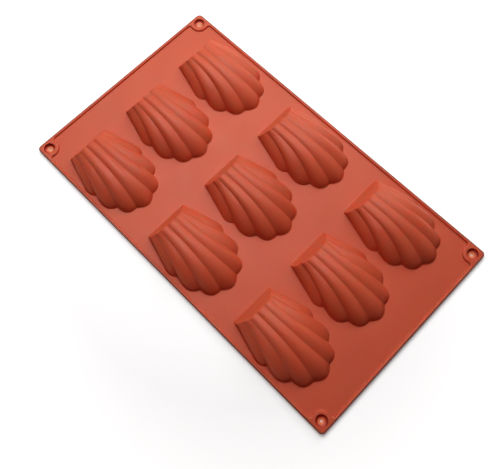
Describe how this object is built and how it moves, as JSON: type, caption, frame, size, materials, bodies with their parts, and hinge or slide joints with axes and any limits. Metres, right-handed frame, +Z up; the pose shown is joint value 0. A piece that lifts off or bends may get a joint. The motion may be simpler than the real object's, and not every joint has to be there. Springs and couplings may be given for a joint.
{
  "type": "silicone madeleine mould",
  "caption": "Flexible baking sheet with rows of ribbed shell-shaped cups, shown domes up, with a raised rim and a dished hanging hole in each corner.",
  "frame": {"origin": "middle of the flat underside, where the mould rests with its domes up", "axes": "+X along the long side, from the flat ends of the shells to their scalloped tips, +Y along the short side, +Z up out of the domes"},
  "size_m": [0.3, 0.175, 0.0174],
  "materials": {
    "silicone": "satin moulded silicone, terracotta"
  },
  "bodies": {
    "root": {"mould": "silicone"}
  },
  "joints": []
}
